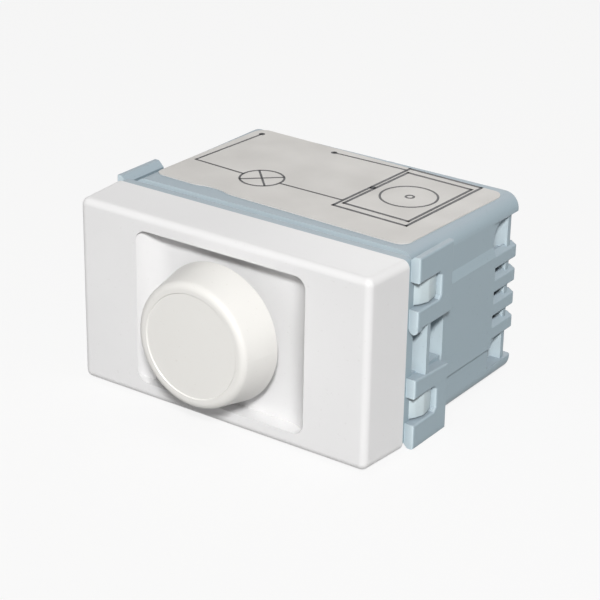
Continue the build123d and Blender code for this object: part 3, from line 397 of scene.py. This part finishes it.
nodeFinishes = {
    "coverPlastic": ["front_cover"], "knobPlastic": ["knob"],
    "casePlastic": ["clip_frame", "rear_housing"],
    "labelPaper": ["wiring_label"], "paperBoard": ["circuit_board"],
    "zincPlate": ["pot_base", "pot_can", "pot_bushing", "pot_nut", "lock_washer", "shaft_clip"],
    "tinnedWire": ["pot_terminals", "switch_pins", "triac_leads", "capacitor_leads", "axial_leads",
                   "fuse_caps"],
    "turnedAluminium": ["pot_shaft"], "sinkAluminium": ["heat_sink"], "potLaminate": ["pot_track"],
    "darkPlastic": ["pot_rotor", "switch_case", "triac", "terminal_block"],
    "contactBrass": ["wiper_contact", "terminal_cages", "fuse_clips"],
    "screwSteel": ["heat_sink_screw", "terminal_plate_left", "terminal_plate_right", "terminal_screw_left",
                   "terminal_screw_right", "case_screws"],
    "capacitorShell": ["suppression_capacitor", "timing_capacitor"],
    "ferriteBody": ["choke_core"],
    "copperWinding": ["choke_winding"], "fuseGlass": ["fuse_tube"], "resistorCoat": ["resistors"],
    "diacBody": ["diac"],
}


def finishOn(piece, finish):
    piece.data.materials.clear()
    piece.data.materials.append(finishes[finish])


for finish, nodeNames in nodeFinishes.items():
    for nodeName in nodeNames:
        finishOn(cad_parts[nodeName], finish)
print("finishes on", sum(len(nodeNames) for nodeNames in nodeFinishes.values()), "nodes")


def selectOnly(*pieces):
    if bpy.context.object and bpy.context.object.mode != "OBJECT":
        bpy.ops.object.mode_set(mode="OBJECT")
    bpy.ops.object.select_all(action="DESELECT")
    for piece in pieces:
        piece.select_set(True)
    if pieces:
        bpy.context.view_layer.objects.active = pieces[0]


def applyPlace():
    bpy.ops.object.transform_apply(location=True, rotation=True, scale=True)


# the line drawing on the label, in millimetres from the label's centre, x to the right and y to the rear
drawing = {
    "boxes": [((5.07, -5.75), (15.72, 10.62)), ((5.68, -4.4), (15.1, 9.3))], "boxLine": 0.38,
    "dial": [((10.52, 2.4), 3.55), ((10.62, 2.45), 0.5)], "lamp": ((-7.2, -3.95), 2.78), "ringCorners": 72,
    "dots": [(5.38, 2.1), (-17.5, 9.1), (-5.88, 9.35)], "dotRadius": 0.42, "dotCorners": 32,
    "wires": [((5.0, -3.7), (-4.4, -4.0)), ((-10.0, -4.15), (-17.9, -3.95)),
              ((-17.9, -3.95), (-17.5, 9.1)), ((5.0, 9.95), (-5.88, 9.35))],
    "line": 0.28, "thickness": 0.02, "lift": 0.002, "turn": -2.0, "centre": (0.0, 7.8),
}


def inkBar(start, end, width):
    # a flat bar from one point of the drawing to another
    run = Vector(end) - Vector(start)
    middle = (Vector(start) + Vector(end)) / 2
    bpy.ops.mesh.primitive_plane_add(size=1.0, location=(middle.x, middle.y, 0))
    bar = bpy.context.object
    bar.rotation_euler = (0, 0, math.atan2(run.y, run.x))
    bar.scale = (run.length + width, width, 1)
    return bar


def inkDisc(centre, radius, corners):
    bpy.ops.mesh.primitive_circle_add(vertices=corners, radius=radius, fill_type="NGON",
                                      location=(*centre, 0))
    return bpy.context.object


def inkRing(centre, radius, width):
    ring = inkDisc(centre, radius + width / 2, drawing["ringCorners"])
    bpy.ops.object.mode_set(mode="EDIT")
    bpy.ops.mesh.select_all(action="SELECT")
    bpy.ops.mesh.inset(thickness=width)
    bpy.ops.mesh.delete(type="FACE")
    bpy.ops.object.mode_set(mode="OBJECT")
    return ring


def inkFrame(low, high, width):
    corners = [(low[0], low[1]), (high[0], low[1]), (high[0], high[1]), (low[0], high[1])]
    return [inkBar(a, b, width) for a, b in zip(corners, corners[1:] + corners[:1])]


def makeDrawing():
    selectOnly()
    width = drawing["line"]
    parts = [bar for low, high in drawing["boxes"] for bar in inkFrame(low, high, drawing["boxLine"])]
    rings = drawing["dial"] + [drawing["lamp"]]
    parts += [inkRing(centre, radius, width) for centre, radius in rings]
    # the lamp's ring is crossed
    (lampX, lampY), lampRadius = drawing["lamp"]
    arm = lampRadius * math.sqrt(0.5)
    for rise in (arm, -arm):
        parts.append(inkBar((lampX - arm, lampY - rise), (lampX + arm, lampY + rise), width))
    parts += [inkDisc(dot, drawing["dotRadius"], drawing["dotCorners"]) for dot in drawing["dots"]]
    parts += [inkBar(a, b, width) for a, b in drawing["wires"]]
    selectOnly(*parts)
    applyPlace()
    bpy.ops.object.join()
    ink = bpy.context.object
    ink.name = "label_drawing"
    film = ink.modifiers.new("film", "SOLIDIFY")
    film.thickness = drawing["thickness"]
    film.offset = 1.0
    bpy.ops.object.modifier_apply(modifier=film.name)
    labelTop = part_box("wiring_label")[1].z
    ink.scale = (mm, mm, mm)
    ink.rotation_euler = (0, 0, math.radians(drawing["turn"]))
    ink.location = (drawing["centre"][0] * mm, drawing["centre"][1] * mm, labelTop + drawing["lift"] * mm)
    applyPlace()
    finishOn(ink, "printInk")
    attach(ink, "housing")


makeDrawing()
print("label drawing made")

# pieces below are drawn in millimetres from the middle of the cover's front: x right, y to the rear, z up
partOrigin = (0.0, -14.4, 12.17)
cleanUp = {"merge": 0.0000005, "smoothAngle": 35}


def cubeBetween(low, high):
    bpy.ops.mesh.primitive_cube_add(size=1.0, location=(Vector(low) + Vector(high)) / 2)
    block = bpy.context.object
    block.scale = Vector(high) - Vector(low)
    applyPlace()
    return block


def pick(piece, kind, wanted):
    # in edit mode, selects the faces or edges that pass the test
    bpy.ops.mesh.select_mode(type=kind)
    bpy.ops.mesh.select_all(action="DESELECT")
    mesh = bmesh.from_edit_mesh(piece.data)
    elements = mesh.faces if kind == "FACE" else mesh.edges
    for element in elements:
        element.select_set(wanted(element))
    bmesh.update_edit_mesh(piece.data)


def pull(x=0.0, y=0.0):
    bpy.ops.mesh.extrude_region_move(TRANSFORM_OT_translate={"value": (x, y, 0)})


def intoFrame(piece, name, finish, body):
    # from drawing millimetres to the frame's metres, with the place in the mesh
    selectOnly(piece)
    piece.name = name
    piece.scale = (mm, mm, mm)
    piece.location = Vector(partOrigin) * mm
    applyPlace()
    bpy.ops.object.mode_set(mode="EDIT")
    bpy.ops.mesh.select_all(action="SELECT")
    bpy.ops.mesh.remove_doubles(threshold=cleanUp["merge"])
    bpy.ops.mesh.normals_make_consistent(inside=False)
    bpy.ops.object.mode_set(mode="OBJECT")
    bpy.ops.object.shade_smooth_by_angle(angle=math.radians(cleanUp["smoothAngle"]))
    finishOn(piece, finish)
    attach(piece, body)


# snaps of the housing that stand in the windows of the clip blocks
# the outline's points are joined by cuts, outside which the block is cleared away
snap = {"root": 20.4, "front": 9.1, "rear": 13.17, "reach": 22.1, "half": 1.55, "level": 7.3,
        "outline": [(20.95, 9.1), (21.5, 9.87), (21.85, 11.6), (21.7, 13.17)],
        "round": 0.2, "steps": 3, "rootClear": 0.1}


def makeSnaps():
    selectOnly()
    level, half = snap["level"], snap["half"]
    wedge = cubeBetween((snap["root"], snap["front"], level - half),
                        (snap["reach"], snap["rear"], level + half))
    bpy.ops.object.mode_set(mode="EDIT")
    for (x0, y0), (x1, y1) in zip(snap["outline"], snap["outline"][1:]):
        bpy.ops.mesh.select_all(action="SELECT")
        bpy.ops.mesh.bisect(plane_co=(x0, y0, level), plane_no=(y1 - y0, x0 - x1, 0), use_fill=True,
                            clear_outer=True)
    clear = snap["root"] + snap["rootClear"]
    pick(wedge, "EDGE", lambda edge: min(vert.co.x for vert in edge.verts) > clear)
    bpy.ops.mesh.bevel(offset=snap["round"], segments=snap["steps"], affect="EDGES")
    bpy.ops.object.mode_set(mode="OBJECT")
    # one for each window: moved to its row, then turned half round the depth axis for the left side,
    # which swaps upper and lower
    low = -2 * level
    for window, drop, turn in (("right_upper", 0.0, 0.0), ("right_lower", low, 0.0),
                               ("left_lower", 0.0, math.pi), ("left_upper", low, math.pi)):
        selectOnly(wedge)
        bpy.ops.object.duplicate(linked=False)
        copy = bpy.context.object
        copy.location = (0, 0, drop)
        applyPlace()
        copy.rotation_euler = (0, turn, 0)
        applyPlace()
        intoFrame(copy, f"window_snap_{window}", "snapPlastic", "housing")
    bpy.data.objects.remove(wedge)


# sloping tops of the ribs, which leave only a thin slit under the rib above
# each rib has its top's level and how far in the slope runs along the rear wall
slopes = {"ribs": [(-4.205, 9.3), (-1.025, 9.3), (2.155, 9.3), (5.335, 0.0)],
          "wallIn": 19.85, "wallOut": 20.60, "rearIn": 33.25, "rearOut": 34.08, "front": 28.0,
          "under": 0.4, "rise": 0.45, "width": 0.6, "corner": 0.5, "cornerSteps": 4,
          "near": 0.01, "square": 0.99}


def makeSlope(top, inner):
    high = top + slopes["rise"]
    side, rear, near = slopes["wallOut"], slopes["rearOut"], slopes["near"]
    bar = cubeBetween((slopes["wallIn"], slopes["rearIn"], top - slopes["under"]), (side, rear, high))
    # from the corner forwards along the side wall, then inwards along the rear wall
    bpy.ops.object.mode_set(mode="EDIT")
    pick(bar, "FACE", lambda face: -face.normal.y > slopes["square"])
    pull(y=slopes["front"] - slopes["rearIn"])
    pick(bar, "FACE", lambda face: -face.normal.x > slopes["square"]
         and face.calc_center_median().y > slopes["rearIn"])
    pull(x=inner - slopes["wallIn"])

    def within(edge, margin):
        return all(vert.co.x > side - margin and vert.co.y > rear - margin for vert in edge.verts)

    def atTopOutside(edge):
        ends = [vert.co for vert in edge.verts]
        onSide = min(end.x for end in ends) > side - near
        onRear = min(end.y for end in ends) > rear - near
        onBend = within(edge, slopes["corner"] + near)
        return min(end.z for end in ends) > high - near and (onSide or onRear or onBend)

    # the upright corner is rounded, then the top's outer edge slopes off
    pick(bar, "EDGE", lambda edge: within(edge, near))
    bpy.ops.mesh.bevel(offset=slopes["corner"], segments=slopes["cornerSteps"], affect="EDGES")
    pick(bar, "EDGE", atTopOutside)
    bpy.ops.mesh.bevel(offset=slopes["width"], segments=1, affect="EDGES")
    bpy.ops.object.mode_set(mode="OBJECT")
    return bar


def makeSlopes():
    for sideName, mirror in (("right", 1), ("left", -1)):
        selectOnly()
        bars = [makeSlope(top, inner) for top, inner in slopes["ribs"]]
        selectOnly(*bars)
        bpy.ops.object.join()
        joined = bpy.context.object
        joined.scale = (mirror, 1, 1)
        applyPlace()
        intoFrame(joined, f"rib_slopes_{sideName}", "casePlastic", "housing")


makeSnaps()
makeSlopes()
print("window snaps and rib slopes made")


def makeCamera():
    data = bpy.data.cameras.new("photoCamera")
    data.lens = view["lens"]
    data.sensor_width = view["sensor"]
    data.clip_start = view["clipStart"]
    camera = bpy.data.objects.new("photoCamera", data)
    bpy.context.scene.collection.objects.link(camera)
    place = Vector(view["place"])
    turn = (Vector(view["aim"]) - place).to_track_quat("-Z", "Y")
    turn = turn @ Quaternion((0, 0, 1), math.radians(view["roll"]))
    camera.matrix_world = Matrix.Translation(place) @ turn.to_matrix().to_4x4()
    bpy.context.scene.camera = camera


def makeLamps():
    for name, lamp in lamps.items():
        data = bpy.data.lights.new(name + "Light", "AREA")
        data.shape = "SQUARE"
        data.size = lamp["size"]
        data.energy = lamp["watts"]
        data.color = lamp["tint"]
        soft = bpy.data.objects.new(name + "Light", data)
        bpy.context.scene.collection.objects.link(soft)
        place = Vector(lamp["place"])
        turn = (Vector(lampAim) - place).to_track_quat("-Z", "Y")
        soft.matrix_world = Matrix.Translation(place) @ turn.to_matrix().to_4x4()


def seenDirectly(nodes, links):
    # 1 for camera, mirror and glass rays, so the pale background shows in gloss and glass too
    path = addNode(nodes, "ShaderNodeLightPath")
    total = path.outputs["Is Camera Ray"]
    for ray in ("Is Glossy Ray", "Is Transmission Ray"):
        total = mathAt(nodes, links, "ADD", total, path.outputs[ray], clamp=True)
    return total


def shaderOf(nodes, kind, colour, strength=None):
    shader = addNode(nodes, kind)
    shader.inputs["Color"].default_value = colour
    if strength is not None:
        shader.inputs["Strength"].default_value = strength
    return shader.outputs[0]


def mixShaders(nodes, links, out, share, first, second):
    mix = addNode(nodes, "ShaderNodeMixShader")
    for socket, source in zip(mix.inputs, (share, first, second)):
        links.new(source, socket)
    links.new(mix.outputs[0], out.inputs["Surface"])


def makeRoom():
    world = bpy.data.worlds.new("studio")
    bpy.context.scene.world = world
    world.use_nodes = True
    nodes, links = world.node_tree.nodes, world.node_tree.links
    nodes.clear()
    out = addNode(nodes, "ShaderNodeOutputWorld")
    fill = shaderOf(nodes, "ShaderNodeBackground", room["tint"] + (1,), room["fill"])
    shown = shaderOf(nodes, "ShaderNodeBackground", white, 1.0)
    mixShaders(nodes, links, out, seenDirectly(nodes, links), fill, shown)
    selectOnly()
    bpy.ops.mesh.primitive_plane_add(size=room["floorSide"], location=(0, 0, 0))
    floor = bpy.context.object
    floor.name = "studio_floor"
    mat, nodes, links, out = newMaterial("floorWhite")
    matt = shaderOf(nodes, "ShaderNodeBsdfDiffuse", (room["floor"],) * 3 + (1,))
    glow = shaderOf(nodes, "ShaderNodeEmission", white, room["whiteStrength"])
    share = mathAt(nodes, links, "MULTIPLY", seenDirectly(nodes, links), room["whiteShare"])
    mixShaders(nodes, links, out, share, matt, glow)
    floor.data.materials.append(mat)


makeCamera()
makeLamps()
makeRoom()
bpy.context.scene.view_settings.view_transform = "Standard"
print("camera, lamps and floor set")
